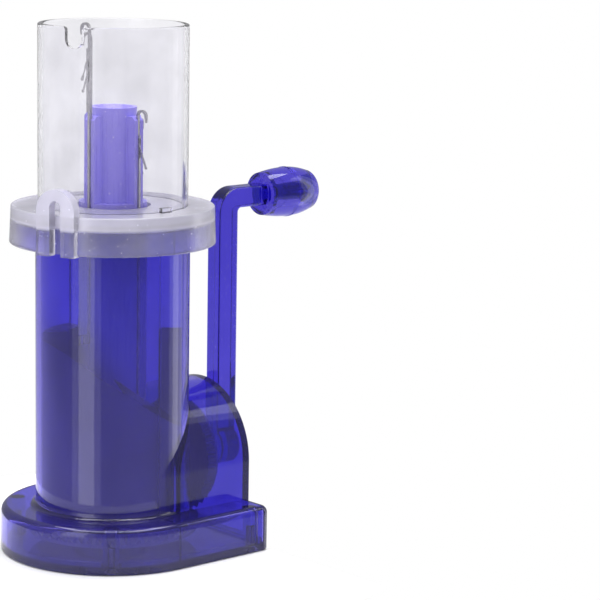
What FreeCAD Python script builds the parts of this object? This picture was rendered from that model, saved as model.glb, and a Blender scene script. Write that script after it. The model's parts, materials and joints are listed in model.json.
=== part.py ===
"""Hand-cranked cord knitting mill.

The Z axis is the axis of the column and of the needle cylinder, and z = 0 is the underside.
The crank's shaft points along +X. All sizes are in millimetres.
"""
import FreeCAD, Part
import math
import os

V = FreeCAD.Vector
ORIGIN, X_AXIS, Y_AXIS, Z_AXIS = V(0, 0, 0), V(1, 0, 0), V(0, 1, 0), V(0, 0, 1)

# ---- Driving dimensions ----------------------------------------------------------------------
# Column and collar
column_radius = 24.0
column_wall = 1.7
column_height = 91.3        # above the base
foot_radius = 2.0           # concave fillet where the column meets the base
collar_overhang = 6.0
collar_height = 8.0
collar_wall = 1.7

# Base and its cover
base_height = 14.2
base_margin = 3.9           # base's edge beyond the back screws' centres
base_corner_radius = 3.0
base_edge_radius = 2.4
housing_wall = 1.8
floor_thickness = 1.8       # top plate of the base, also the floor of the column
cover_thickness = 2.1
cover_edge_chamfer = 0.4
cover_lip_height = 1.5
cover_lip_width = 1.2
cover_lip_clearance = 0.1
cover_boss_wall = 3.0
cord_outlet_radius = 8.0

# Cap ring and yarn guide
cap_clearance = 0.1
cap_wall = 1.95
cap_draft = 0.5
cap_plate = 3.6
cap_skirt_drop = 8.15       # skirt below the plate
cap_hole_clearance = 0.65   # round the needles
cap_edge_radius = 0.5
guide_azimuth = 201.0       # degrees, of the yarn guide and the notch above it
guide_width = 13.3
guide_slot = 3.9
guide_band = 3.4            # from the slot's top to the arch's top
guide_rise = 8.2            # above the cap's plate
guide_drop = 0.3            # below the skirt
guide_thickness = 1.9
guide_stand_off = 1.3       # outer face beyond the skirt

# Needle shield
shield_height = 55.9        # above the cap's plate
shield_inset = 0.75         # outside of the shield inside the column's radius
shield_wall = 1.5
shield_rim_radius = 0.6
shield_groove_depth = 1.5
shield_groove_clearance = 0.05
notch_width = 6.0
notch_depth = 6.5
notch_lip_radius = 1.0
lug_azimuth = 274.0
lug_size = (4.0, 1.3, 1.5)  # along the wall, outward, up

# Needle cylinder
cylinder_stand = 30.4       # tube's top above the cap's plate
cylinder_shoulder = 1.2     # body's top above the cap's plate
cylinder_tube_radius = 7.3
cylinder_bore_radius = 5.0
cylinder_body_radius = 10.6
cylinder_body_wall = 1.6    # under the needle slots' floor
cylinder_neck = 6.3         # from the body's top down to where its bore widens
cylinder_cone = 3.0
cylinder_rim_chamfer = 1.2
rib_half_width = 1.9
rib_top_drop = 2.4          # ribs end this far under the tube's top
rib_chamfer = 1.2
seat_step = 0.8             # from the body to the gear's seat, and from there to the journal
key_half_width = 1.5
bearing_clearance = 0.05
thrust_gap = 0.05
first_needle_azimuth = 9.5
needle_count = 4

# Needles
needle_low_drop = 5.0       # lowest needle's hook under the cylinder's top
needle_thickness = 0.8
needle_depth = 1.25         # radial
needle_slot_clearance = 0.1
needle_stand_proud = 0.45   # beyond the cylinder's ribs
hook_outer_radius = 2.0
hook_wire = 0.75
hook_leg = 1.9
hook_tip = (0.15, 0.35, 0.3)    # tip's taper outside, at its point, and its height
latch_below_hook = 10.5
latch_length = 8.7
latch_thickness = 0.3
latch_width = 0.62
latch_eye_rim = 0.08
latch_spoon_radius = 0.45
latch_slot_width = 0.44
latch_slot_above = 1.6
latch_slot_below = 4.5
latch_open_angle = 23.0     # degrees out from the stem, hanging
rivet_radius = 0.22
latch_hole_clearance = 0.05
butt_height = 3.0
butt_length = 3.65          # beyond the needle's outer side
butt_gap = 0.3              # radial gap between a butt and the cam ledge

# Lifting cam
cam_low_height = 24.3       # above the base
cam_lift = 30.0
cam_rise = (0.0, 95.0)      # degrees
cam_fall = (165.0, 320.0)
cam_sleeve_clearance = 0.1
cam_sleeve_wall = 1.6
cam_ledge_thickness = 1.6
cam_rim = 2.0               # sleeve above the cam's highest edge

# Bevel gears, whose shared apex is on the column's axis at the crank's height
crown_gear_reach = 3.0      # crown gear's pitch circle beyond the column
crank_gear_teeth = 36
cylinder_gear_teeth = 54
gear_face_width = 2.4
addendum_modules = 0.85
dedendum_modules = 1.15
tooth_width_modules = 1.15
tooth_flank_angle = 20.0
tooth_sink = 0.25           # tooth's foot inside the gear's body
gear_web = 2.0
gear_hub_wall = 3.2
crank_hub_length = 2.5
cylinder_hub_wall = 2.2
cylinder_hub_height = 4.2
cylinder_gear_back = 2.3    # from the pitch circle down to the hub's foot
cylinder_gear_relief = 0.3  # web's underside above the hub's foot
crown_gear_rim = 1.2        # inside the teeth
web_under_teeth = 0.6
hub_boss_gap = 0.4          # crown gear's hub to the cover's boss
hub_floor_gap = 2.2         # crown gear's hub to the column's floor
gear_boss_gap = 1.13        # crown gear's teeth to the screw bosses

# Crank
shaft_radius = 3.5
shaft_flat_depth = 0.8
shaft_engagement = 4.54     # of the flatted end in the pinion
shaft_collar_rim = 1.7      # collar's radius beyond the shaft
shaft_collar_length = 4.2
shaft_end_gap = 0.25        # collar to housing, and pinion to bearing
crank_bearing_length = 3.96
bearing_boss_rim = 0.8
arm_thickness = 7.7
arm_half_width = 3.25
arm_hub_rim = 0.8
arm_edge_radius = 0.8
crank_radius = 81.2
neck_half_height = 3.3
neck_length = 12.7          # from the arm's outer face
bend_outer_radius = 8.0
bend_inner_radius = 1.5
pin_radius = 3.0
snap_grip = 0.7             # snap bead's radius beyond the pin
snap_length = 3.4
snap_bead = 1.2
snap_bore_radius = 1.7
snap_slit = 0.8
snap_slit_length = 10.5
snap_fingers = 8
snap_point_length = 2.6
snap_point_width = 0.3      # left at each finger's end
gear_screw_head_radius = 2.5
gear_screw_head = 1.7
gear_screw_radius = 1.2
gear_screw_length = 7.4
gear_screw_clearance = 0.2
gear_screw_slot = (1.4, 0.3, 0.8)    # half length, half width, depth

# Knob
knob_overlap = 0.7          # mouth over the neck's end
knob_length = 20.7
knob_widest = 10.5          # from the mouth
knob_radius = 8.1
knob_mouth_wall = 1.65
knob_mouth_lip = (0.1, 0.6)     # flare and length
knob_tail_radius = 6.6
knob_edge_radius = 1.6
knob_neck_clearance = 0.67
knob_recess_depth = 2.4
knob_bore_clearance = 0.06
knob_snap_room = 0.7        # round the snap bead
knob_snap_gap = 0.15        # along the pin, before the bead
knob_pin_gap = 0.6          # after the pin's end
knob_end_wall = 2.6
knob_end_crown = 0.1
knob_rim = (0.12, 0.35)     # moulding ridge round the widest place: height and half width
knob_fullness = 0.74        # share of the swell reached halfway to the widest place

# Cover screws
screw_back_azimuth = 128.0
screw_front_inset = (5.95, 3.7)     # from the base's end and from its side
screw_radius = 1.0
screw_head_radius = 2.0
screw_head_rim = 0.1
screw_head_recess = 0.25
screw_length = 8.0
screw_cross = (1.2, 0.25, 0.9)      # half length, half width, depth from the underside
screw_boss_radius = 2.4
screw_boss_clearance = 0.6   # round a boss, in the cover's lip

# Modelling allowances
past = 1.0                  # how far a cut runs past the face that it opens
sunk = 0.5                  # how far a joined shape starts inside the one that it joins

# ---- Derived places ----------------------------------------------------------------------------
column_bore_radius = column_radius - column_wall
collar_radius = column_radius + collar_overhang
base_top_z = base_height
floor_low_z = base_top_z - floor_thickness
column_top_z = base_top_z + column_height

needle_outer_radius = cylinder_body_radius + needle_stand_proud
needle_inner_radius = needle_outer_radius - needle_depth
slot_floor_radius = needle_inner_radius - needle_slot_clearance
hook_centre_radius = needle_inner_radius + hook_outer_radius
latch_pivot_radius = (needle_inner_radius + needle_outer_radius) / 2
gear_seat_radius = cylinder_body_radius - seat_step
journal_radius = gear_seat_radius - seat_step

cap_plate_top_z = column_top_z + cap_plate
cap_skirt_low_z = column_top_z - cap_skirt_drop
cap_inner_radius = collar_radius + cap_clearance
cap_outer_radius = cap_inner_radius + cap_wall
cap_hole_radius = needle_outer_radius + cap_hole_clearance
guide_top_z = cap_plate_top_z + guide_rise
shield_radius = column_radius - shield_inset
shield_top_z = cap_plate_top_z + shield_height

cylinder_body_top_z = cap_plate_top_z + cylinder_shoulder
cylinder_top_z = cap_plate_top_z + cylinder_stand
cylinder_bore_step_z = cylinder_body_top_z - cylinder_neck
cam_low_z = base_top_z + cam_low_height
cam_high_z = cam_low_z + cam_lift
cam_ledge_inner_radius = needle_outer_radius + butt_length + butt_gap
needle_length = cylinder_top_z - needle_low_drop - cam_low_z

cylinder_pitch_radius = column_radius + crown_gear_reach
gear_module = 2 * cylinder_pitch_radius / cylinder_gear_teeth
crank_pitch_radius = gear_module * crank_gear_teeth / 2
pitch_cone_length = math.hypot(crank_pitch_radius, cylinder_pitch_radius)
tooth_addendum = addendum_modules * gear_module
tooth_dedendum = dedendum_modules * gear_module
tooth_pitch_width = tooth_width_modules * gear_module
gear_hub_top_z = floor_low_z - hub_floor_gap
gear_hub_low_z = gear_hub_top_z - cylinder_hub_height
cover_boss_top_z = gear_hub_low_z - hub_boss_gap
crank_axis_z = gear_hub_low_z + cylinder_gear_back + crank_pitch_radius
apex = V(0, 0, crank_axis_z)

crown_tip_radius = cylinder_pitch_radius + tooth_addendum * crank_pitch_radius / pitch_cone_length
screw_circle_radius = crown_tip_radius + gear_boss_gap + screw_boss_radius
base_radius = screw_circle_radius + base_margin     # half round at the back, half the width
crank_heel_x = cylinder_pitch_radius + tooth_dedendum * crank_pitch_radius / pitch_cone_length
crank_hub_end_x = crank_heel_x + gear_web + crank_hub_length
bearing_start_x = crank_hub_end_x + shaft_end_gap
base_end_x = bearing_start_x + crank_bearing_length     # flat end under the crank
shaft_start_x = crank_hub_end_x - shaft_engagement
shaft_flat = shaft_radius - shaft_flat_depth
shaft_collar_radius = shaft_radius + shaft_collar_rim
gear_screw_end_x = shaft_start_x + gear_screw_length

arm_inner_x = base_end_x + shaft_end_gap + shaft_collar_length
arm_outer_x = arm_inner_x + arm_thickness
neck_end_x = arm_outer_x + neck_length
knob_start_x = neck_end_x - knob_overlap
knob_end_x = knob_start_x + knob_length
knob_widest_x = knob_start_x + knob_widest
knob_recess_radius = math.hypot(arm_half_width, neck_half_height) + knob_neck_clearance
knob_mouth_radius = knob_recess_radius + knob_mouth_wall
snap_radius = pin_radius + snap_grip
knob_cavity_radius = snap_radius + knob_snap_room
knob_cavity_end_x = knob_end_x - knob_end_wall
pin_end_x = knob_cavity_end_x - knob_pin_gap
snap_start_x = pin_end_x - snap_length


# ---- Shape helpers -----------------------------------------------------------------------------
def rod(radius, low, high, axis=Z_AXIS, centre=ORIGIN):
    """Solid cylinder between two stations of an axis through centre."""
    return Part.makeCylinder(radius, high - low, centre + axis * low, axis)


def ring(outer, inner, low, high, axis=Z_AXIS, centre=ORIGIN):
    """Tube between two stations of an axis through centre."""
    return rod(outer, low, high, axis, centre).cut(rod(inner, low, high, axis, centre))


def block(x, y, z):
    """Box from three (low, high) pairs."""
    return Part.makeBox(x[1] - x[0], y[1] - y[0], z[1] - z[0], V(x[0], y[0], z[0]))


def turned(outline, axis=Z_AXIS, centre=ORIGIN):
    """Solid of revolution of a closed outline of (radius, station) points."""
    across = X_AXIS if axis == Z_AXIS else Z_AXIS
    points = [centre + across * r + axis * s for r, s in outline]
    face = Part.Face(Part.makePolygon(points + points[:1]))
    return face.revolve(centre, axis, 360)


def about_z(shape, azimuth):
    """Copy of a shape turned about the column's axis."""
    copy = shape.copy()
    copy.rotate(ORIGIN, Z_AXIS, azimuth)
    return copy


def polar(radius, azimuth, z=0.0):
    """Point at a radius and an azimuth in degrees."""
    angle = math.radians(azimuth)
    return V(radius * math.cos(angle), radius * math.sin(angle), z)


def plan_prism(inset, low, high):
    """The base's plan, half round at the back and square under the crank, as a prism."""
    half = base_radius - inset
    end = base_end_x - inset
    corner = max(base_corner_radius - inset, 0.8)
    diagonal = corner * (1 - math.sqrt(0.5))
    edges = [
        Part.Arc(V(0, half, low), V(-half, 0, low), V(0, -half, low)).toShape(),
        Part.LineSegment(V(0, -half, low), V(end - corner, -half, low)).toShape(),
        Part.Arc(V(end - corner, -half, low), V(end - diagonal, -half + diagonal, low),
                 V(end, -half + corner, low)).toShape(),
        Part.LineSegment(V(end, -half + corner, low), V(end, half - corner, low)).toShape(),
        Part.Arc(V(end, half - corner, low), V(end - diagonal, half - diagonal, low),
                 V(end - corner, half, low)).toShape(),
        Part.LineSegment(V(end - corner, half, low), V(0, half, low)).toShape(),
    ]
    return Part.Face(Part.Wire(edges)).extrude(V(0, 0, high - low))


def edges_at(shape, z):
    """Edges of a prism that lie in one level plane."""
    return [e for e in shape.Edges if all(abs(v.Point.z - z) < 1e-6 for v in e.Vertexes)]


def vault(radius, start_x, end_x, low):
    """Barrel vault over the crank's shaft, with straight sides down to a level."""
    arch = rod(radius, start_x, end_x, X_AXIS, apex)
    sides = block((start_x, end_x), (-radius, radius), (low, crank_axis_z))
    below = block((start_x, end_x), (-radius, radius), (low - 2 * radius, low))
    return arch.fuse(sides).cut(below)


def screw_places():
    """Centres of the four cover screws, in plan."""
    back = [polar(screw_circle_radius, side * screw_back_azimuth) for side in (1, -1)]
    front_x, front_y = base_end_x - screw_front_inset[0], base_radius - screw_front_inset[1]
    front = [V(front_x, side * front_y, 0) for side in (1, -1)]
    return back + front


# ---- Housing -----------------------------------------------------------------------------------
def foot_fillet():
    """Concave ring where the column stands on the base."""
    inner, outer = column_radius - sunk, column_radius + foot_radius
    middle = foot_radius * (1 - math.sqrt(0.5))
    low = V(outer, 0, base_top_z)
    high = V(column_radius, 0, base_top_z + foot_radius)
    arc = Part.Arc(low, V(column_radius + middle, 0, base_top_z + middle), high).toShape()
    rest = Part.makePolygon([high, V(inner, 0, high.z), V(inner, 0, low.z), low])
    return Part.Face(Part.Wire([arc] + rest.Edges)).revolve(ORIGIN, Z_AXIS, 360)


def housing():
    """Whole housing before it is parted: base, column, gear vault and collar."""
    base = plan_prism(0, cover_thickness, base_top_z)
    base = base.makeFillet(base_edge_radius, edges_at(base, base_top_z))
    collar_low = column_top_z - collar_height
    body = base.multiFuse([
        rod(column_radius, base_top_z - sunk, column_top_z),
        foot_fillet(),
        vault(column_radius, 0, base_end_x, base_top_z - base_edge_radius),
        rod(collar_radius, collar_low, column_top_z),
    ])
    gear_room = vault(column_radius - housing_wall, 0, base_end_x - housing_wall, floor_low_z - past)
    gear_room = gear_room.cut(rod(column_radius, 0, column_top_z))
    collar_room = ring(collar_radius - collar_wall, column_radius, collar_low - past,
                       column_top_z - collar_wall)
    body = body.cut(Part.makeCompound([
        plan_prism(housing_wall, 0, floor_low_z),
        rod(column_bore_radius, base_top_z, column_top_z + past),
        rod(cylinder_body_radius + bearing_clearance, 0, base_top_z + past),
    ]))
    body = body.cut(gear_room).cut(collar_room)
    bosses = [rod(screw_boss_radius, cover_thickness, floor_low_z + sunk, centre=place)
              for place in screw_places()]
    bearing = rod(shaft_collar_radius + bearing_boss_rim, bearing_start_x, base_end_x - sunk,
                  X_AXIS, apex)
    body = body.multiFuse(bosses + [bearing])
    holes = [rod(screw_radius, 0, screw_length, centre=place) for place in screw_places()]
    holes.append(rod(shaft_radius + bearing_clearance, bearing_start_x - past,
                     base_end_x + past, X_AXIS, apex))
    return body.cut(Part.makeCompound(holes)).removeSplitter()


def half(shape, side):
    """The part of a shape on one side of the plane x = 0."""
    reach = 200.0
    x_range = (0, reach) if side > 0 else (-reach, 0)
    return shape.common(block(x_range, (-reach, reach), (-1, reach)))


def bottom_cover():
    """Plate under the base, with a locating lip, the cylinder's bearing and the cord outlet."""
    plate = plan_prism(0, 0, cover_thickness)
    plate = plate.makeChamfer(cover_edge_chamfer, edges_at(plate, 0))
    lip_inset = housing_wall + cover_lip_clearance
    lip_top = cover_thickness + cover_lip_height
    lip = plan_prism(lip_inset, cover_thickness - sunk, lip_top)
    lip = lip.cut(plan_prism(lip_inset + cover_lip_width, 0, lip_top + past))
    bearing_radius = journal_radius + bearing_clearance
    boss = ring(bearing_radius + cover_boss_wall, bearing_radius, cover_thickness - sunk,
                cover_boss_top_z)
    cover = plate.multiFuse([lip, boss])
    tools = [rod(cord_outlet_radius, -past, cover_thickness + past)]
    for place in screw_places():
        tools.append(rod(screw_boss_radius + screw_boss_clearance, cover_thickness, lip_top + past,
                         centre=place))
        tools.append(turned(screw_outline(low=-past), centre=place))
    return cover.cut(Part.makeCompound(tools)).removeSplitter()


def screw_outline(low):
    """Countersunk head and shank; a lower start takes the recess through the cover's face."""
    shoulder = screw_head_recess + screw_head_rim + screw_head_radius - screw_radius
    return [(0, low), (screw_head_radius, low), (screw_head_radius, screw_head_recess + screw_head_rim),
            (screw_radius, shoulder), (screw_radius, screw_length), (0, screw_length)]


def cover_screws():
    """Four countersunk screws with cross recesses."""
    length, width, depth = screw_cross
    screws = []
    for place in screw_places():
        screw = turned(screw_outline(low=screw_head_recess), centre=place)
        for angle in (0, 90):
            slot = block((-length, length), (-width, width), (0, depth))
            slot.rotate(ORIGIN, Z_AXIS, angle)
            slot.translate(place)
            screw = screw.cut(slot)
        screws.append(screw)
    return Part.makeCompound(screws)


# ---- Cap ring and shield -----------------------------------------------------------------------
def arch_outline(half_width, top_z, low_z, inner_radius, outer_radius):
    """Round-topped plate square to +X, between two radii."""
    centre_z = top_z - half_width
    legs = block((inner_radius, outer_radius), (-half_width, half_width), (low_z, centre_z))
    return legs.fuse(rod(half_width, inner_radius, outer_radius, X_AXIS, V(0, 0, centre_z)))


def cap_ring():
    """Clear ring over the collar, with the slotted yarn guide."""
    top_radius = cap_outer_radius - cap_draft
    body = turned([(cap_hole_radius, column_top_z), (cap_inner_radius, column_top_z),
                   (cap_inner_radius, cap_skirt_low_z),
                   (cap_outer_radius, cap_skirt_low_z),
                   (top_radius, cap_plate_top_z), (cap_hole_radius, cap_plate_top_z)])
    rims = [e for e in body.Edges if isinstance(e.Curve, Part.Circle)
            and (abs(e.Curve.Radius - top_radius) < 1e-3
                 or abs(e.Curve.Radius - cap_outer_radius) < 1e-3)]
    body = body.makeFillet(cap_edge_radius, rims)
    groove = ring(shield_radius + shield_groove_clearance,
                  shield_radius - shield_wall - shield_groove_clearance,
                  cap_plate_top_z - shield_groove_depth, cap_plate_top_z + past)
    guide_outer = cap_outer_radius + guide_stand_off
    guide_inner = cap_outer_radius - guide_thickness
    guide_low = cap_skirt_low_z - guide_drop
    guide = arch_outline(guide_width / 2, guide_top_z, guide_low, guide_inner, guide_outer)
    slot = arch_outline(guide_slot / 2, guide_top_z - guide_band, guide_low - past,
                        cap_inner_radius, guide_outer + past)
    body = body.fuse(about_z(guide, guide_azimuth)).cut(about_z(slot, guide_azimuth))
    return body.cut(groove).cut(rod(cap_inner_radius, 0, column_top_z))


def needle_shield():
    """Clear tube round the needles, with the yarn notch in its rim and two lugs at its foot."""
    low_z = cap_plate_top_z - shield_groove_depth
    inner = shield_radius - shield_wall
    tube = ring(shield_radius, inner, low_z, shield_top_z)
    rims = [e for e in tube.Edges if isinstance(e.Curve, Part.Circle)
            and abs(e.Curve.Center.z - shield_top_z) < 1e-6]
    tube = tube.makeFillet(shield_rim_radius, rims)
    notch_low = shield_top_z - notch_depth
    across = (inner - past, shield_radius + past)
    half_notch = notch_width / 2
    notch = rod(half_notch, across[0], across[1], X_AXIS, V(0, 0, notch_low + half_notch))
    mouth = block(across, (-half_notch, half_notch), (notch_low + half_notch, shield_top_z + past))
    notch = notch.fuse(mouth)
    for side in (1, -1):
        flare_edges = sorted((side * half_notch, side * (half_notch + notch_lip_radius)))
        flare = block(across, flare_edges, (shield_top_z - notch_lip_radius, shield_top_z + past))
        lip = rod(notch_lip_radius, across[0], across[1], X_AXIS,
                  V(0, side * (half_notch + notch_lip_radius), shield_top_z - notch_lip_radius))
        notch = notch.fuse(flare.cut(lip))
    tube = tube.cut(about_z(notch, guide_azimuth))
    lug = block((shield_radius - shield_wall / 2, shield_radius + lug_size[1]),
                (-lug_size[0] / 2, lug_size[0] / 2),
                (cap_plate_top_z, cap_plate_top_z + lug_size[2]))
    lugs = [about_z(lug, lug_azimuth + turn) for turn in (0, 180)]
    return tube.multiFuse(lugs)


# ---- Lifting cam -------------------------------------------------------------------------------
def cam_height(azimuth):
    """Height of the cam's edge: a low dwell, a rise, a high dwell and a fall."""
    azimuth = azimuth % 360
    middle, swing = (cam_high_z + cam_low_z) / 2, (cam_high_z - cam_low_z) / 2
    if cam_rise[0] <= azimuth < cam_rise[1]:
        part = (azimuth - cam_rise[0]) / (cam_rise[1] - cam_rise[0])
        return middle - swing * math.cos(math.pi * part)
    if cam_rise[1] <= azimuth < cam_fall[0]:
        return cam_high_z
    if cam_fall[0] <= azimuth < cam_fall[1]:
        part = (azimuth - cam_fall[0]) / (cam_fall[1] - cam_fall[0])
        return middle + swing * math.cos(math.pi * part)
    return cam_low_z


def above_cam(inner, outer, height):
    """Everything above the cam's edge, between two radii."""
    pieces = []
    count = 17
    for start, end in (cam_rise, cam_fall):
        azimuths = [start + (end - start) * i / (count - 1) for i in range(count)]
        edges = []
        for radius in (inner, outer):
            curve = Part.BSplineCurve()
            curve.interpolate([polar(radius, a, slope_height(a, start, end)) for a in azimuths])
            edges.append(curve.toShape())
        pieces.append(Part.makeRuledSurface(edges[0], edges[1]).extrude(V(0, 0, height)))
    dwells = ((cam_rise[1], cam_fall[0], cam_high_z), (cam_fall[1], 360 + cam_rise[0], cam_low_z))
    for start, end, foot_z in dwells:
        sector = Part.makeCylinder(outer, height, V(0, 0, foot_z), Z_AXIS, end - start)
        pieces.append(about_z(sector, start).cut(rod(inner, foot_z - past, foot_z + height + past)))
    return pieces[0].multiFuse(pieces[1:])


def slope_height(azimuth, start, end):
    """Height on a rise or a fall, with both its ends on the slope."""
    inside = 1e-9
    return cam_height(min(max(azimuth, start), end - inside))


def cam_sleeve():
    """Sleeve fixed in the column, whose sloping inner ledge lifts the needles' butts."""
    outer = column_bore_radius - cam_sleeve_clearance
    ledge_low_z = cam_low_z - cam_ledge_thickness
    blank = ring(outer, cam_ledge_inner_radius, base_top_z, cam_high_z + cam_rim)
    room = rod(outer - cam_sleeve_wall, base_top_z - past, ledge_low_z)
    above = above_cam(cam_ledge_inner_radius - past, outer + past, cam_lift + cam_rim + past)
    return blank.cut(above).cut(room).removeSplitter()


# ---- Gears -------------------------------------------------------------------------------------
def bevel_gear(teeth, pitch_radius, apex_distance, blank, first_tooth):
    """Straight bevel gear with its axis on +Z and its cone's apex at the origin."""
    cone_length = math.hypot(pitch_radius, apex_distance)
    toe_scale = (cone_length - gear_face_width) / cone_length
    out_r, out_z = apex_distance / cone_length, -pitch_radius / cone_length
    slope = math.tan(math.radians(tooth_flank_angle))
    levels = ((-tooth_dedendum - tooth_sink, tooth_pitch_width / 2 + tooth_dedendum * slope),
              (tooth_addendum, tooth_pitch_width / 2 - tooth_addendum * slope))
    corners = [(levels[0][0], -levels[0][1]), (levels[1][0], -levels[1][1]),
               (levels[1][0], levels[1][1]), (levels[0][0], levels[0][1])]
    wires = []
    for scale in (1.0, toe_scale):
        points = [V((pitch_radius + lift * out_r) * scale, side * scale,
                    (apex_distance + lift * out_z) * scale) for lift, side in corners]
        wires.append(Part.makePolygon(points + points[:1]))
    tooth = Part.makeLoft(wires, True, True)
    ring_of_teeth = [about_z(tooth, first_tooth + 360.0 * i / teeth) for i in range(teeth)]
    return turned(blank).multiFuse(ring_of_teeth)


def root_cone(pitch_radius, apex_distance):
    """Heel and toe points of a gear's root cone, as (radius, station)."""
    cone_length = math.hypot(pitch_radius, apex_distance)
    toe_scale = (cone_length - gear_face_width) / cone_length
    heel = (pitch_radius - tooth_dedendum * apex_distance / cone_length,
            apex_distance + tooth_dedendum * pitch_radius / cone_length)
    return heel, (heel[0] * toe_scale, heel[1] * toe_scale)


def shaft_with_flat(radius, flat, start, end):
    """Crank shaft's end, with one flat on its upper side."""
    body = rod(radius, start, end, X_AXIS, apex)
    return body.cut(block((start - past, end + past), (-radius - past, radius + past),
                          (crank_axis_z + flat, crank_axis_z + radius + past)))


def crank_gear():
    """Bevel pinion on the crank's shaft."""
    heel, toe = root_cone(crank_pitch_radius, cylinder_pitch_radius)
    hub = shaft_radius + gear_hub_wall
    back = heel[1] + gear_web / 2
    blank = [(0, toe[1]), toe, heel, (heel[0], back), (hub, back),
             (hub, crank_hub_end_x), (0, crank_hub_end_x)]
    gear = bevel_gear(crank_gear_teeth, crank_pitch_radius, cylinder_pitch_radius, blank,
                      first_tooth=0.0)
    gear.rotate(ORIGIN, Y_AXIS, 90)
    gear.translate(apex)
    gear = gear.cut(shaft_with_flat(shaft_radius, shaft_flat, shaft_start_x, base_end_x))
    return gear.cut(rod(gear_screw_head_radius + gear_screw_clearance, 0, shaft_start_x,
                        X_AXIS, apex))


def crank_gear_screw():
    """Pan-head screw that holds the pinion on the shaft."""
    length, width, depth = gear_screw_slot
    head_start = shaft_start_x - gear_screw_head
    screw = rod(gear_screw_head_radius, head_start, shaft_start_x, X_AXIS, apex)
    screw = screw.fuse(rod(gear_screw_radius, shaft_start_x - sunk, gear_screw_end_x, X_AXIS, apex))
    for angle in (0, 90):
        slot = block((head_start - past, head_start + depth), (-length, length),
                     (crank_axis_z - width, crank_axis_z + width))
        slot.rotate(apex, X_AXIS, angle)
        screw = screw.cut(slot)
    return screw


def cylinder_keys(clearance):
    """Two keys that lock the crown gear to the needle cylinder."""
    reach = cylinder_body_radius + clearance
    width = key_half_width + clearance
    return block((-reach, reach), (-width, width), (gear_hub_low_z, gear_hub_top_z))


def cylinder_gear():
    """Crown gear on the foot of the needle cylinder, teeth upwards."""
    heel, toe = root_cone(cylinder_pitch_radius, crank_pitch_radius)
    hub_top, hub_low = crank_axis_z - gear_hub_top_z, crank_axis_z - gear_hub_low_z
    hub = cylinder_body_radius + cylinder_hub_wall
    web_top = heel[1] - web_under_teeth
    web_low = hub_low - cylinder_gear_relief
    rim = toe[0] - crown_gear_rim
    blank = [(gear_seat_radius, hub_top), (hub, hub_top), (hub, web_top),
             (rim, web_top), (rim, toe[1]), toe, heel, (heel[0], web_low),
             (hub, web_low), (hub, hub_low), (gear_seat_radius, hub_low)]
    gear = bevel_gear(cylinder_gear_teeth, cylinder_pitch_radius, crank_pitch_radius, blank,
                      first_tooth=180.0 / cylinder_gear_teeth)
    gear.rotate(ORIGIN, X_AXIS, 180)
    gear.translate(apex)
    return gear.cut(cylinder_keys(bearing_clearance))


# ---- Needle cylinder ---------------------------------------------------------------------------
def needle_azimuths():
    """Azimuth of each needle's slot."""
    return [first_needle_azimuth + 360.0 * i / needle_count for i in range(needle_count)]


def needle_cylinder():
    """Turning cylinder with a slot for each needle and the cord's bore through it."""
    body_bore = slot_floor_radius - cylinder_body_wall
    foot_z = cover_thickness + thrust_gap
    parts = [rod(journal_radius, foot_z, gear_hub_low_z),
             rod(gear_seat_radius, gear_hub_low_z, gear_hub_top_z),
             cylinder_keys(0),
             rod(cylinder_body_radius, gear_hub_top_z, cylinder_body_top_z),
             rod(cylinder_tube_radius, cylinder_body_top_z - sunk, cylinder_top_z)]
    rib_top = cylinder_top_z - rib_top_drop
    rib = block((cylinder_tube_radius - sunk, cylinder_body_radius),
                (-rib_half_width, rib_half_width), (cylinder_body_top_z - sunk, rib_top))
    shoulder = rib.Edges[0]
    for edge in rib.Edges:
        middle = edge.valueAt((edge.FirstParameter + edge.LastParameter) / 2)
        if abs(middle.z - rib_top) < 1e-6 and abs(middle.x - cylinder_body_radius) < 1e-6:
            shoulder = edge
    rib = rib.makeChamfer(rib_chamfer, [shoulder])
    slot_half = needle_thickness / 2 + needle_slot_clearance
    slot = block((slot_floor_radius, cylinder_body_radius + past), (-slot_half, slot_half),
                 (cam_low_z - cam_rim, cylinder_top_z))
    parts += [about_z(rib, azimuth) for azimuth in needle_azimuths()]
    body = parts[0].multiFuse(parts[1:])
    bore = [rod(cylinder_bore_radius, 0, cylinder_top_z + past),
            rod(body_bore, gear_hub_top_z, cylinder_bore_step_z),
            Part.makeCone(body_bore, cylinder_bore_radius, cylinder_cone,
                          V(0, 0, cylinder_bore_step_z)),
            rod(journal_radius - cylinder_body_wall, 0, gear_hub_top_z)]
    rim = Part.makeCone(cylinder_bore_radius, cylinder_bore_radius + cylinder_rim_chamfer,
                        cylinder_rim_chamfer, V(0, 0, cylinder_top_z - cylinder_rim_chamfer))
    slots = [about_z(slot, azimuth) for azimuth in needle_azimuths()]
    return body.cut(Part.makeCompound(bore)).cut(rim).cut(Part.makeCompound(slots))


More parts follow.
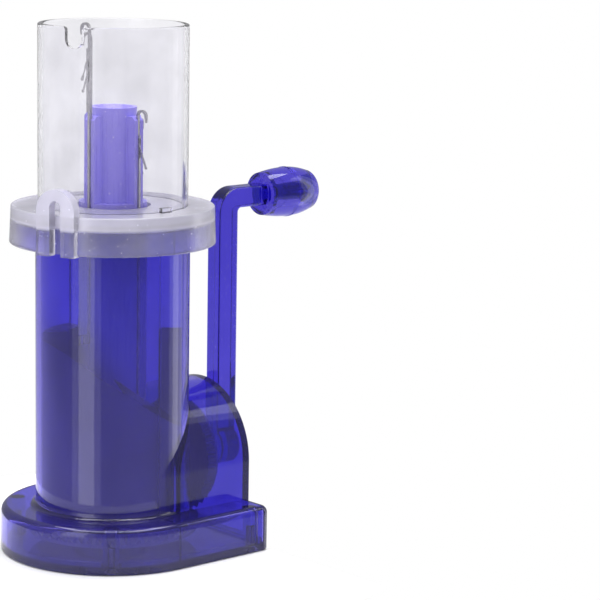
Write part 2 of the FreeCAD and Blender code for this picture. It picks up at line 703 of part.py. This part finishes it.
# ---- Needles -----------------------------------------------------------------------------------
def needle(azimuth):
    """Latch needle, standing where the cam holds it, with its hook opening outwards."""
    half = needle_thickness / 2
    butt_z = cam_height(azimuth)
    top_z = butt_z + needle_length
    bend_z = top_z - hook_outer_radius
    stem = block((needle_inner_radius, needle_outer_radius), (-half, half),
                 (butt_z, top_z - latch_below_hook + latch_slot_above + past))
    neck = block((needle_inner_radius, needle_inner_radius + hook_wire), (-half, half),
                 (stem.BoundBox.ZMax - sunk, bend_z))
    bend = ring(hook_outer_radius, hook_outer_radius - hook_wire, -half, half, Y_AXIS,
                V(hook_centre_radius, 0, bend_z))
    reach = hook_centre_radius + hook_outer_radius
    bend = bend.cut(block((0, reach + past), (-half - past, half + past),
                          (bend_z - hook_outer_radius - past, bend_z)))
    tip_z = bend_z - hook_leg
    leg = Part.Face(Part.makePolygon([
        V(reach - hook_wire, -half, bend_z), V(reach, -half, bend_z),
        V(reach - hook_tip[0], -half, tip_z + hook_tip[2]), V(reach - hook_tip[1], -half, tip_z),
        V(reach - hook_wire, -half, bend_z)])).extrude(V(0, needle_thickness, 0))
    butt = block((needle_inner_radius, cam_ledge_inner_radius - butt_gap), (-half, half),
                 (butt_z, butt_z + butt_height))
    body = stem.multiFuse([neck, bend, leg, butt])
    pivot_z = top_z - latch_below_hook
    slot = block((0, reach), (-latch_slot_width / 2, latch_slot_width / 2),
                 (pivot_z - latch_slot_below, pivot_z + latch_slot_above))
    pin = rod(rivet_radius, -half, half, Y_AXIS, V(latch_pivot_radius, 0, pivot_z))
    return about_z(body.cut(slot).cut(pin), azimuth)


def latch_rivet(azimuth):
    """Pivot pin of a latch, flush with the needle's sides."""
    pivot_z = cam_height(azimuth) + needle_length - latch_below_hook
    half = needle_thickness / 2
    return about_z(rod(rivet_radius, -half, half, Y_AXIS,
                       V(latch_pivot_radius, 0, pivot_z)), azimuth)


def latch(azimuth):
    """Latch that hangs open, with a rounded eye and a spoon at its tip."""
    half = latch_thickness / 2
    hole = rivet_radius + latch_hole_clearance
    spoon_z = 2 * latch_spoon_radius - latch_length
    eye = rod(latch_width / 2 + latch_eye_rim, -half, half, Y_AXIS)
    blade = block((-latch_width / 2, latch_width / 2), (-half, half), (spoon_z, 0))
    spoon = rod(latch_spoon_radius, -half, half, Y_AXIS, V(0, 0, spoon_z))
    body = eye.multiFuse([blade, spoon]).cut(rod(hole, -past, past, Y_AXIS))
    body.rotate(ORIGIN, Y_AXIS, -latch_open_angle)
    body.translate(V(latch_pivot_radius, 0, cam_height(azimuth) + needle_length
                     - latch_below_hook))
    return about_z(body, azimuth)


# ---- Crank and knob ----------------------------------------------------------------------------
def crank_arm():
    """Bent crank: shaft, flat arm, neck and the pin for the knob, in one piece."""
    neck_z = crank_axis_z + crank_radius
    top, under = neck_z + neck_half_height, neck_z - neck_half_height
    outer, inner = bend_outer_radius, bend_inner_radius
    cut_45 = 1 - math.sqrt(0.5)
    y = -arm_half_width
    corners = {
        "outer": [V(arm_inner_x, y, top - outer),
                  V(arm_inner_x + outer * cut_45, y, top - outer * cut_45),
                  V(arm_inner_x + outer, y, top)],
        "inner": [V(arm_outer_x + inner, y, under),
                  V(arm_outer_x + inner * cut_45, y, under - inner * cut_45),
                  V(arm_outer_x, y, under - inner)],
    }
    edges = [
        Part.LineSegment(V(arm_inner_x, y, crank_axis_z), corners["outer"][0]).toShape(),
        Part.Arc(*corners["outer"]).toShape(),
        Part.LineSegment(corners["outer"][2], V(neck_end_x, y, top)).toShape(),
        Part.LineSegment(V(neck_end_x, y, top), V(neck_end_x, y, under)).toShape(),
        Part.LineSegment(V(neck_end_x, y, under), corners["inner"][0]).toShape(),
        Part.Arc(*corners["inner"]).toShape(),
        Part.LineSegment(corners["inner"][2], V(arm_outer_x, y, crank_axis_z)).toShape(),
        Part.LineSegment(V(arm_outer_x, y, crank_axis_z), V(arm_inner_x, y, crank_axis_z)).toShape(),
    ]
    arm = Part.Face(Part.Wire(edges)).extrude(V(0, 2 * arm_half_width, 0))
    long_edges = [e for e in arm.Edges if abs(e.Vertexes[0].Y - e.Vertexes[-1].Y) < 1e-6
                  and e.BoundBox.ZMax > crank_axis_z + past
                  and e.BoundBox.XMin < neck_end_x - past]
    arm = arm.makeFillet(arm_edge_radius, long_edges)
    hub = rod(shaft_collar_radius + arm_hub_rim, arm_inner_x, arm_outer_x, X_AXIS, apex)
    hub = hub.makeFillet(arm_edge_radius, [e for e in hub.Edges
                                           if isinstance(e.Curve, Part.Circle)])
    neck = V(0, 0, neck_z)
    pieces = [
        hub,
        rod(shaft_collar_radius, base_end_x + shaft_end_gap, arm_inner_x + sunk, X_AXIS, apex),
        rod(shaft_radius, crank_hub_end_x, base_end_x + past, X_AXIS, apex),
        shaft_with_flat(shaft_radius, shaft_flat, shaft_start_x, crank_hub_end_x + sunk),
        rod(pin_radius, neck_end_x - sunk, pin_end_x, X_AXIS, neck),
        turned([(0, snap_start_x), (snap_radius, snap_start_x),
                (snap_radius, snap_start_x + snap_bead), (pin_radius, pin_end_x),
                (0, pin_end_x)], X_AXIS, neck),
    ]
    crank = arm.multiFuse(pieces).cut(snap_cuts(neck))
    return crank.cut(rod(gear_screw_radius, shaft_start_x - past, gear_screw_end_x, X_AXIS, apex))


def snap_cuts(neck):
    """Bore, slits and notches that leave springy pointed fingers at the pin's end."""
    slit_start = pin_end_x - snap_slit_length
    cuts = [rod(snap_bore_radius, slit_start, pin_end_x + past, X_AXIS, neck)]
    slit = block((slit_start, pin_end_x + past), (-snap_slit / 2, snap_slit / 2),
                 (0, snap_radius + past))
    half_notch = math.pi * pin_radius / snap_fingers - snap_point_width / 2
    tip, mouth = V(pin_end_x - snap_point_length, 0, 0), half_notch * (1 + past / snap_point_length)
    notch = Part.Face(Part.makePolygon([
        tip, V(pin_end_x + past, -mouth, 0), V(pin_end_x + past, mouth, 0), tip,
    ])).extrude(V(0, 0, snap_radius + past))
    for number in range(snap_fingers):
        tool = notch.fuse(slit) if number % 2 == 0 else notch.copy()
        tool.rotate(ORIGIN, X_AXIS, 360.0 * number / snap_fingers)
        tool.translate(neck)
        cuts.append(tool)
    return Part.makeCompound(cuts)


def knob():
    """Barrel-shaped grip, hollow at its mouth and closed at its tail."""
    neck = V(0, 0, crank_axis_z + crank_radius)

    def point(radius, x):
        return V(x, 0, neck.z + radius)

    def curve(a, middle, b):
        return Part.Arc(point(*a), point(*middle), point(*b)).toShape()

    bore = pin_radius + knob_bore_clearance
    cavity_start = snap_start_x - knob_snap_gap
    recess_x = knob_start_x + knob_recess_depth
    lip_radius, lip_x = knob_mouth_radius + knob_mouth_lip[0], knob_start_x + knob_mouth_lip[1]
    quarter = (lip_x + knob_widest_x) / 2
    bulge = (knob_radius - knob_mouth_radius) * knob_fullness + knob_mouth_radius
    tail_x = knob_end_x - knob_edge_radius
    tail_quarter = (tail_x + knob_widest_x) / 2
    tail_bulge = (knob_radius - knob_tail_radius) * knob_fullness + knob_tail_radius
    inside = [point(0, knob_end_x), point(0, knob_cavity_end_x),
              point(knob_cavity_radius, knob_cavity_end_x),
              point(knob_cavity_radius, cavity_start), point(bore, cavity_start),
              point(bore, recess_x), point(knob_recess_radius, recess_x),
              point(knob_recess_radius, knob_start_x), point(knob_mouth_radius, knob_start_x)]
    edges = Part.makePolygon(inside).Edges
    edges.append(Part.LineSegment(point(knob_mouth_radius, knob_start_x),
                                  point(lip_radius, lip_x)).toShape())
    edges.append(curve((lip_radius, lip_x), (bulge, quarter), (knob_radius, knob_widest_x)))
    edges.append(curve((knob_radius, knob_widest_x), (tail_bulge, tail_quarter),
                       (knob_tail_radius, tail_x)))
    rounding = knob_edge_radius * (1 - math.sqrt(0.5))
    face_radius, face_x = knob_tail_radius - knob_edge_radius, knob_end_x - knob_end_crown
    edges.append(curve((knob_tail_radius, tail_x),
                       (knob_tail_radius - rounding, face_x - rounding), (face_radius, face_x)))
    edges.append(Part.LineSegment(point(face_radius, face_x), point(0, knob_end_x)).toShape())
    body = Part.Face(Part.Wire(edges)).revolve(neck, X_AXIS, 360)
    height, half_width = knob_rim
    rim = ring(knob_radius + height, knob_radius - sunk, knob_widest_x - half_width,
               knob_widest_x + half_width, X_AXIS, neck)
    return body.fuse(rim)


# ---- All the sub-parts -------------------------------------------------------------------------
def build():
    """Every sub-part by its node name."""
    whole = housing()
    nodes = {
        "housing_rear_shell": half(whole, -1),
        "housing_crank_shell": half(whole, 1),
        "bottom_cover": bottom_cover(),
        "cover_screws": cover_screws(),
        "cam_sleeve": cam_sleeve(),
        "cap_ring": cap_ring(),
        "needle_shield": needle_shield(),
        "needle_cylinder": needle_cylinder(),
        "cylinder_gear": cylinder_gear(),
        "crank_arm": crank_arm(),
        "crank_gear": crank_gear(),
        "crank_gear_screw": crank_gear_screw(),
        "knob": knob(),
    }
    for number, azimuth in enumerate(needle_azimuths(), start=1):
        nodes[f"needle_{number}"] = needle(azimuth)
        nodes[f"latch_{number}"] = latch(azimuth)
        nodes[f"latch_rivet_{number}"] = latch_rivet(azimuth)
    return nodes


os.makedirs("parts", exist_ok=True)
for name, shape in build().items():
    if not shape.isValid():
        raise ValueError(f"{name} is not a valid shape")
    shape.exportStep(f"parts/{name}.step")
    print(f"{name:22s} solids {len(shape.Solids)}  volume {shape.Volume:9.1f}")
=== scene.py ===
"""Hand-cranked cord knitting mill: looks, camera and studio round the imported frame."""
import json
import math

import bmesh
import bpy
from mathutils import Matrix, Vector


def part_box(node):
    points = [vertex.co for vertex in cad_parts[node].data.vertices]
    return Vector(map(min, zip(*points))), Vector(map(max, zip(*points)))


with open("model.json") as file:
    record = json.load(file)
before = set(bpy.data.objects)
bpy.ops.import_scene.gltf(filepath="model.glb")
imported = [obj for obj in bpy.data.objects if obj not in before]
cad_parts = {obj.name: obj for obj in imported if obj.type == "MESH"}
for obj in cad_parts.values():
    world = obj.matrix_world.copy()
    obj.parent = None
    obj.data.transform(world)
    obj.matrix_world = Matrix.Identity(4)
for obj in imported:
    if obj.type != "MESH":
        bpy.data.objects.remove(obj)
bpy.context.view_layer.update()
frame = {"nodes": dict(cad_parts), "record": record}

MM = 0.001
NODES = frame["nodes"]
PLASTIC_IOR = 1.49
CAP_PLATE_BELOW_TOP = 11.8 * MM     # underside of the cap's thick plate, below the guide's top
PAINTED_SHADE_START, PAINTED_SHADE_FULL = 0.25, 0.45    # normal's height where a sleeve face counts as level and takes painted shade

# Studio
TABLE_RADIUS = 0.095
TABLE_SEGMENTS = 96
TABLE_GAP = 0.2 * MM        # under the object
SURROUND_FILL = 0.40        # surround's strength in reflections, above FILL_ANGLE
FILL_ANGLE = -9.5           # degrees
LOW_GLOW = 0.9              # its strength below LOW_GLOW_ANGLE, as from a bright table
LOW_GLOW_ANGLE = -15.0
SIDE_TARGET = (0, 0, 0.14)
LIGHTS = (                  # name, place, target, size, radiance
    ("top_box", (0.05, 0.05, 0.90), (0, 0, 0), (0.80, 0.80), 5.2),
    ("left_wide", (-0.41, -0.10, 0.14), SIDE_TARGET, (0.34, 0.76), 0.7),
    ("left_core", (-0.39, -0.10, 0.14), SIDE_TARGET, (0.17, 0.76), 1.7),
    ("right_wide", (0.41, -0.15, 0.14), SIDE_TARGET, (0.26, 0.76), 0.7),
    ("right_core", (0.39, -0.16, 0.14), SIDE_TARGET, (0.10, 0.76), 1.3),
)

# ---- Camera ------------------------------------------------------------------------------------
CAMERA_PLACE = (-0.47318, -0.61199, 0.21964)
CAMERA_TURN = (79.7308, -0.9695, -41.8643)      # degrees
CAMERA_LENS = 150.88        # mm, on a sensor CAMERA_SENSOR wide
CAMERA_SENSOR = 36.0
CAMERA_CLIP = (0.01, 50.0)


def add_camera():
    data = bpy.data.cameras.new("camera")
    data.lens = CAMERA_LENS
    data.sensor_width = CAMERA_SENSOR
    data.clip_start, data.clip_end = CAMERA_CLIP
    camera = bpy.data.objects.new("camera", data)
    camera.location = CAMERA_PLACE
    camera.rotation_euler = [math.radians(a) for a in CAMERA_TURN]
    bpy.context.scene.collection.objects.link(camera)
    bpy.context.scene.camera = camera


# ---- Node helpers ------------------------------------------------------------------------------
class Nodes:
    """A material's node tree, with short calls to add and link nodes."""

    def __init__(self, name):
        self.material = bpy.data.materials.new(name)
        self.material.use_nodes = True
        self.tree = self.material.node_tree
        self.tree.nodes.clear()
        self.output = self.add("ShaderNodeOutputMaterial")
        self.place = self.add("ShaderNodeTexCoord").outputs["Object"]

    def add(self, kind, **values):
        node = self.tree.nodes.new(kind)
        for key, value in values.items():
            setattr(node, key, value)
        return node

    def link(self, source, target):
        self.tree.links.new(source, target)

    def noise(self, scale, detail=3.0, roughness=0.5, stretch=None):
        """Noise value in object space; stretch scales the place along each axis."""
        node = self.add("ShaderNodeTexNoise")
        node.inputs["Scale"].default_value = scale
        node.inputs["Detail"].default_value = detail
        node.inputs["Roughness"].default_value = roughness
        if stretch:
            mapping = self.add("ShaderNodeMapping")
            mapping.inputs["Scale"].default_value = stretch
            self.link(self.place, mapping.inputs["Vector"])
            self.link(mapping.outputs["Vector"], node.inputs["Vector"])
        else:
            self.link(self.place, node.inputs["Vector"])
        return node.outputs["Fac"]

    def remap(self, value, low, high, to_low, to_high):
        node = self.add("ShaderNodeMapRange")
        node.inputs["From Min"].default_value = low
        node.inputs["From Max"].default_value = high
        node.inputs["To Min"].default_value = to_low
        node.inputs["To Max"].default_value = to_high
        self.link(value, node.inputs["Value"])
        return node.outputs["Result"]

    def math(self, operation, a, b):
        node = self.add("ShaderNodeMath", operation=operation)
        for socket, value in zip(node.inputs, (a, b)):
            if isinstance(value, (int, float)):
                socket.default_value = value
            else:
                self.link(value, socket)
        return node.outputs["Value"]

    def mix(self, amount, a, b):
        """Colour mix; a and b are colours or sockets."""
        node = self.add("ShaderNodeMix", data_type="RGBA")
        self.link(amount, node.inputs["Factor"])
        for socket, value in zip((node.inputs[6], node.inputs[7]), (a, b)):
            if isinstance(value, tuple):
                socket.default_value = (*value, 1.0)
            else:
                self.link(value, socket)
        return node.outputs[2]

    def bump(self, height, strength, distance):
        node = self.add("ShaderNodeBump")
        node.inputs["Strength"].default_value = strength
        node.inputs["Distance"].default_value = distance
        self.link(height, node.inputs["Height"])
        return node.outputs["Normal"]

    def specks(self, scale, size):
        """Sparse round specks, 1 in a speck and 0 outside."""
        node = self.add("ShaderNodeTexVoronoi")
        node.inputs["Scale"].default_value = scale
        self.link(self.place, node.inputs["Vector"])
        return self.remap(node.outputs["Distance"], size * 0.6, size, 1.0, 0.0)


def clear_plastic(name, tint, roughness, transmission, haze_above=None, speck_amount=0.5,
                  ior=PLASTIC_IOR):
    """Tinted moulded plastic that lets light through, with flow marks, specks, wipes and waviness.

    haze_above is (height, transmission above it), for thick milky parts.
    """
    n = Nodes(name)
    shader = n.add("ShaderNodeBsdfPrincipled")
    shader.inputs["IOR"].default_value = ior
    if haze_above:
        height = n.add("ShaderNodeSeparateXYZ")
        n.link(n.place, height.inputs["Vector"])
        level, above = haze_above
        amount = n.remap(height.outputs["Z"], level - MM, level, transmission, above)
        n.link(n.math("ADD", amount, n.remap(n.noise(80, 3), 0.3, 0.7, -0.05, 0.05)),
               shader.inputs["Transmission Weight"])
    else:
        cloud = n.noise(45, 4, 0.55, (1.0, 1.0, 0.35))
        n.link(n.remap(cloud, 0.3, 0.7, transmission - 0.05, transmission + 0.04),
               shader.inputs["Transmission Weight"])
    mottle = n.remap(n.noise(60, 4), 0.35, 0.65, 0.0, 1.0)
    colour = n.mix(mottle, tint, tuple(c * 0.9 for c in tint))
    speck = n.math("MULTIPLY", n.specks(420, 0.10), speck_amount)
    colour = n.mix(speck, colour, (0.85, 0.85, 1.0))
    n.link(colour, shader.inputs["Base Color"])
    wipes = n.remap(n.noise(90, 5, 0.6, (1.0, 1.0, 0.25)), 0.3, 0.75,
                    roughness * 0.75, roughness * 1.4)
    n.link(n.math("ADD", wipes, n.math("MULTIPLY", speck, 0.25)), shader.inputs["Roughness"])
    n.link(n.bump(n.noise(70, 2), 0.02, 0.002), shader.inputs["Normal"])
    n.link(shader.outputs["BSDF"], n.output.inputs["Surface"])
    return n.material


def solid_plastic(name, tint, light_tint, roughness, transmission=0.0, speck_amount=0.0):
    """Moulded plastic with flow marks and fine scratches; a little transmission adds depth."""
    n = Nodes(name)
    shader = n.add("ShaderNodeBsdfPrincipled")
    shader.inputs["IOR"].default_value = PLASTIC_IOR
    shader.inputs["Transmission Weight"].default_value = transmission
    flow = n.remap(n.noise(45, 4, 0.55, (1.0, 1.0, 0.2)), 0.3, 0.7, 0.0, 1.0)
    colour = n.mix(flow, tint, light_tint)
    if speck_amount:
        speck = n.math("MULTIPLY", n.specks(520, 0.12), speck_amount)
        colour = n.mix(speck, colour, (0.80, 0.78, 0.98))
    n.link(colour, shader.inputs["Base Color"])
    scratch = n.noise(900, 2, 0.5, (1.0, 1.0, 0.05))
    n.link(n.remap(scratch, 0.3, 0.7, roughness * 0.8, roughness * 1.3),
           shader.inputs["Roughness"])
    n.link(n.bump(scratch, 0.08, 0.0004), shader.inputs["Normal"])
    n.link(shader.outputs["BSDF"], n.output.inputs["Surface"])
    return n.material


def sleeve_plastic_painted_shade(name, wall_tint, ledge_painted_shade, roughness, transmission):
    """Milky plastic of the cam sleeve, with painted shade: faces that look up or down get a
    near-black colour and no transmission.
    """
    n = Nodes(name)
    shader = n.add("ShaderNodeBsdfPrincipled")
    shader.inputs["IOR"].default_value = PLASTIC_IOR
    facing = n.add("ShaderNodeSeparateXYZ")
    n.link(n.add("ShaderNodeNewGeometry").outputs["Normal"], facing.inputs["Vector"])
    level = n.remap(n.math("ABSOLUTE", facing.outputs["Z"], 0.0),
                    PAINTED_SHADE_START, PAINTED_SHADE_FULL, 0.0, 1.0)
    flow = n.remap(n.noise(45, 4, 0.55, (1.0, 1.0, 0.2)), 0.3, 0.7, 0.0, 1.0)
    wall = n.mix(flow, wall_tint, tuple(c * 0.85 for c in wall_tint))
    # painted shade: level faces take the near-black ledge colour in place of the wall colour
    n.link(n.mix(level, wall, ledge_painted_shade), shader.inputs["Base Color"])
    n.link(n.remap(level, 0.0, 1.0, transmission, 0.0), shader.inputs["Transmission Weight"])
    n.link(n.remap(n.noise(300, 3), 0.3, 0.7, roughness * 0.8, roughness * 1.2),
           shader.inputs["Roughness"])
    n.link(shader.outputs["BSDF"], n.output.inputs["Surface"])
    return n.material


def steel(name, tint, roughness, grain):
    """Drawn wire or zinc-plated steel, with fine lengthwise grain and tarnish."""
    n = Nodes(name)
    shader = n.add("ShaderNodeBsdfPrincipled")
    shader.inputs["Metallic"].default_value = 1.0
    tarnish = n.remap(n.noise(220, 5), 0.35, 0.7, 0.0, 1.0)
    n.link(n.mix(tarnish, tint, tuple(c * 0.72 for c in tint)), shader.inputs["Base Color"])
    fine = n.noise(grain, 3, 0.5, (1.0, 1.0, 0.06))
    n.link(n.remap(fine, 0.3, 0.7, roughness * 0.7, roughness * 1.4),
           shader.inputs["Roughness"])
    n.link(n.bump(fine, 0.12, 0.0003), shader.inputs["Normal"])
    n.link(shader.outputs["BSDF"], n.output.inputs["Surface"])
    return n.material


CAP_FLOOR_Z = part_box("cap_ring")[1][2] - CAP_PLATE_BELOW_TOP
materials = {
    "violet_clear": clear_plastic("violet_clear", (0.19, 0.155, 0.81), 0.03, 0.92),
    "violet_crank": clear_plastic("violet_crank", (0.062, 0.043, 0.62), 0.03, 0.96),
    "violet_knob": clear_plastic("violet_knob", (0.075, 0.055, 0.60), 0.03, 0.97),
    "violet_solid": solid_plastic("violet_solid", (0.25, 0.20, 0.80), (0.32, 0.27, 0.90),
                                  0.28, speck_amount=0.5),
    # the second colour is near-black painted shade for the sleeve's level faces
    "violet_sleeve": sleeve_plastic_painted_shade("violet_sleeve", (0.25, 0.23, 0.26),
                                    (0.004, 0.003, 0.03), 0.15, 0.0),
    "clear_frosted": clear_plastic("clear_frosted", (0.87, 0.85, 1.0), 0.20, 0.90,
                                   haze_above=(CAP_FLOOR_Z, 0.42)),
    "clear_tube": clear_plastic("clear_tube", (0.955, 0.95, 0.985), 0.02, 0.955,
                                speck_amount=0.2, ior=1.27),
    "gear_nylon": solid_plastic("gear_nylon", (0.05, 0.035, 0.30), (0.07, 0.05, 0.38), 0.4),
    "needle_steel": steel("needle_steel", (0.46, 0.45, 0.48), 0.25, 1500),
    "screw_steel": steel("screw_steel", (0.50, 0.50, 0.52), 0.35, 900),
}
NODE_FINISH = {"crank_arm": "violet_crank", "knob": "violet_knob", "cam_sleeve": "violet_sleeve"}


def dress_cad_nodes():
    """Gives every CAD node its slot's material and smooth shading inside each CAD face."""
    for row in frame["record"]["subparts"]:
        node = NODES[row["node"]]
        node.data.materials.clear()
        finish = NODE_FINISH.get(row["node"], row["material_slot"])
        node.data.materials.append(materials[finish])
        node.data.polygons.foreach_set("use_smooth", [True] * len(node.data.polygons))


# ---- Studio ------------------------------------------------------------------------------------
def add_floor():
    """White table top, cut off beside the crank, whose swing reaches below the base."""
    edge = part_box("housing_crank_shell")[1][0]
    mesh = bpy.data.meshes.new("floor")
    form = bmesh.new()
    bmesh.ops.create_circle(form, cap_ends=True, radius=TABLE_RADIUS,
                            segments=TABLE_SEGMENTS)
    for vertex in form.verts:
        vertex.co.x = min(vertex.co.x, edge)
    form.to_mesh(mesh)
    form.free()
    floor = bpy.data.objects.new("floor", mesh)
    floor.location.z = -TABLE_GAP
    bpy.context.scene.collection.objects.link(floor)
    n = Nodes("floor_paper")
    shader = n.add("ShaderNodeBsdfPrincipled")
    n.link(n.mix(n.noise(30, 4), (0.97, 0.97, 0.98), (0.99, 0.99, 0.995)),
           shader.inputs["Base Color"])
    shader.inputs["Roughness"].default_value = 0.8
    n.link(shader.outputs["BSDF"], n.output.inputs["Surface"])
    mesh.materials.append(n.material)


def add_light(name, place, target, size, radiance):
    """Soft box that doesn't show, in the open or through clear plastic."""
    data = bpy.data.lights.new(name, "AREA")
    data.shape = "RECTANGLE"
    data.size, data.size_y = size
    data.energy = radiance * math.pi * size[0] * size[1]
    light = bpy.data.objects.new(name, data)
    light.location = place
    aim = Vector(target) - Vector(place)
    light.rotation_euler = aim.to_track_quat("-Z", "Y").to_euler()
    light.visible_camera = False
    light.visible_transmission = False
    bpy.context.scene.collection.objects.link(light)


def add_studio():
    """White surround, dimmer in reflections, with one overhead and two upright soft boxes."""
    world = bpy.data.worlds.new("studio")
    bpy.context.scene.world = world
    world.use_nodes = True
    nodes, links = world.node_tree.nodes, world.node_tree.links
    background = nodes["Background"]
    background.inputs["Color"].default_value = (1.0, 1.0, 1.0, 1.0)
    path = nodes.new("ShaderNodeLightPath")
    seen = nodes.new("ShaderNodeMath")
    seen.operation = "MAXIMUM"
    links.new(path.outputs["Is Camera Ray"], seen.inputs[0])
    links.new(path.outputs["Is Transmission Ray"], seen.inputs[1])
    direction = nodes.new("ShaderNodeSeparateXYZ")
    links.new(nodes.new("ShaderNodeTexCoord").outputs["Generated"], direction.inputs["Vector"])
    fill = nodes.new("ShaderNodeMapRange")
    fill.inputs["From Min"].default_value = math.sin(math.radians(LOW_GLOW_ANGLE))
    fill.inputs["From Max"].default_value = math.sin(math.radians(FILL_ANGLE))
    fill.inputs["To Min"].default_value = LOW_GLOW
    fill.inputs["To Max"].default_value = SURROUND_FILL
    links.new(direction.outputs["Z"], fill.inputs["Value"])
    strength = nodes.new("ShaderNodeMix")
    links.new(seen.outputs["Value"], strength.inputs["Factor"])
    links.new(fill.outputs["Result"], strength.inputs[2])
    strength.inputs[3].default_value = 1.0
    links.new(strength.outputs[0], background.inputs["Strength"])
    add_floor()
    for light in LIGHTS:
        add_light(*light)
    bpy.context.scene.view_settings.view_transform = "Standard"


dress_cad_nodes()
add_camera()
add_studio()
